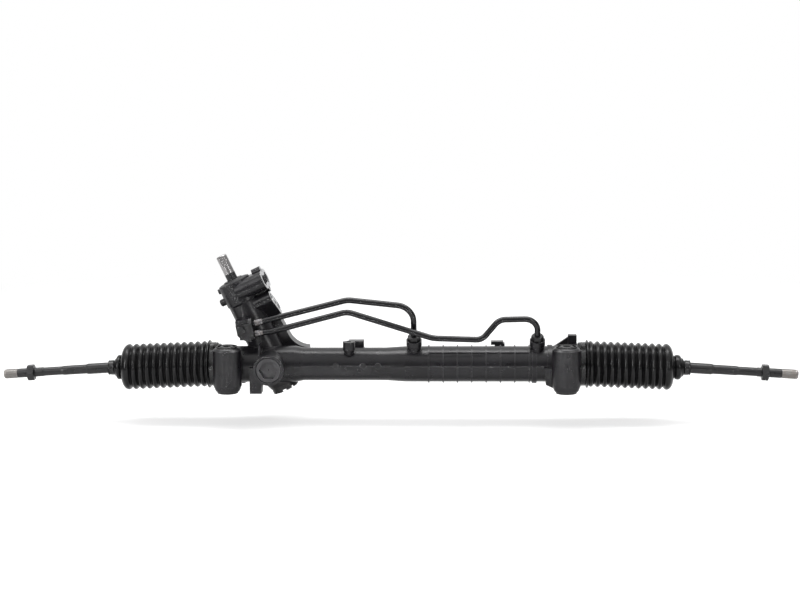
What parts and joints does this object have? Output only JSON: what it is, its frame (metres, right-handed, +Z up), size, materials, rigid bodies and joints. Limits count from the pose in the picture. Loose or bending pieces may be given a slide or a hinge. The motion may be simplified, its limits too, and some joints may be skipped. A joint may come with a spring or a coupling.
{
  "type": "steering rack",
  "caption": "Hydraulic power steering rack: ribbed cast housing with a tilted pinion tower, steel fluid pipes, bellows boots and drooping threaded tie rods.",
  "frame": {"origin": "midway between the two mounting bolt axes, on the plane of the bush sleeves' lower ends", "axes": "+X along the rack to the cylinder side, +Y away from the mounting eyes, +Z up along the mounting bolts"},
  "size_m": [1.1876, 0.1153, 0.213],
  "materials": {
    "cast_black": "satin black paint over cast aluminium",
    "sleeve_steel": "painted steel sleeve",
    "bush_rubber": "moulded rubber",
    "aluminium": "machined",
    "seal_rubber": "moulded",
    "bearing_steel": "ground",
    "grey_plug": "grey phosphated",
    "cap_plastic": "moulded",
    "black_steel": "black painted",
    "machined_steel": "machined",
    "seal_plastic": "low-friction plastic",
    "pipe_black": "satin black coated pipe",
    "seat_brass": "turned",
    "boot_rubber": "moulded rubber",
    "clamp_steel": "dark spring steel",
    "rod_black": "black painted steel"
  },
  "bodies": {
    "housing": {"rack_housing": "cast_black", "left_bush_outer_sleeve": "sleeve_steel", "right_bush_outer_sleeve": "sleeve_steel", "left_bush_rubber": "bush_rubber", "right_bush_rubber": "bush_rubber", "left_bush_inner_sleeve": "sleeve_steel", "right_bush_inner_sleeve": "sleeve_steel", "yoke": "aluminium", "yoke_o_ring": "seal_rubber", "yoke_spring": "bearing_steel", "yoke_plug": "grey_plug", "input_dust_cap": "cap_plastic", "input_shaft_seal": "seal_rubber", "input_shaft_bearing": "bearing_steel", "pinion_seal": "seal_rubber", "pinion_needle_bearing": "bearing_steel", "pinion_ball_bearing": "bearing_steel", "pinion_end_cap": "black_steel", "inner_rack_seal": "seal_rubber", "end_gland": "aluminium", "outer_rack_seal": "seal_rubber", "rack_bush": "seal_plastic", "gland_circlip": "bearing_steel", "long_pipe": "pipe_black", "short_pipe": "pipe_black", "pipe_nuts": "black_steel", "pipe_bracket": "black_steel", "pipe_bracket_bolt": "black_steel", "pressure_port_seat": "seat_brass", "return_port_seat": "seat_brass", "left_boot": "boot_rubber", "right_boot": "boot_rubber", "left_boot_big_clamp": "clamp_steel", "right_boot_big_clamp": "clamp_steel"},
    "rack": {"rack_bar": "machined_steel", "piston": "aluminium", "piston_ring": "seal_plastic", "left_ball_socket": "machined_steel", "right_ball_socket": "machined_steel", "left_socket_liner": "seal_plastic", "right_socket_liner": "seal_plastic"},
    "pinion_shaft": {"pinion": "machined_steel", "pinion_nut": "machined_steel", "valve_sleeve": "machined_steel", "valve_sleeve_rings": "seal_plastic"},
    "steering_input": {"input_shaft": "machined_steel", "torsion_bar": "machined_steel", "torsion_bar_pin": "machined_steel"},
    "left_rod": {"left_tie_rod": "rod_black", "left_jam_nut": "rod_black", "left_boot_small_clamp": "clamp_steel"},
    "right_rod": {"right_tie_rod": "rod_black", "right_jam_nut": "rod_black", "right_boot_small_clamp": "clamp_steel"}
  },
  "joints": [
    {"name": "rack_slide", "type": "slide", "parent": "housing", "child": "rack", "axis": [1, 0, 0], "range_m": [-0.064, 0.064], "deforming": ["left_boot", "right_boot"]},
    {"name": "pinion_spin", "type": "hinge", "parent": "housing", "child": "pinion_shaft", "pos_m": [-0.188, 0.05542, 0.0355], "axis": [-0.4226, 0, 0.9063], "range_deg": [-524.85, 524.85]},
    {"name": "valve_twist", "type": "hinge", "parent": "pinion_shaft", "child": "steering_input", "pos_m": [-0.188, 0.05542, 0.0355], "axis": [-0.4226, 0, 0.9063], "range_deg": [-5, 5], "stiffness_Nm_per_rad": 40},
    {"name": "left_rod_swing", "type": "hinge", "parent": "rack", "child": "left_rod", "pos_m": [-0.3405, 0.04, 0.0355], "axis": [0, 1, 0], "range_deg": [-14.4, 21.6], "deforming": ["left_boot"]},
    {"name": "right_rod_swing", "type": "hinge", "parent": "rack", "child": "right_rod", "pos_m": [0.3405, 0.04, 0.0355], "axis": [0, -1, 0], "range_deg": [-14.4, 21.6], "deforming": ["right_boot"]}
  ],
  "couplings": [
    {"joint": "pinion_spin", "follows": "rack_slide", "rad_per_m": 142.86}
  ]
}
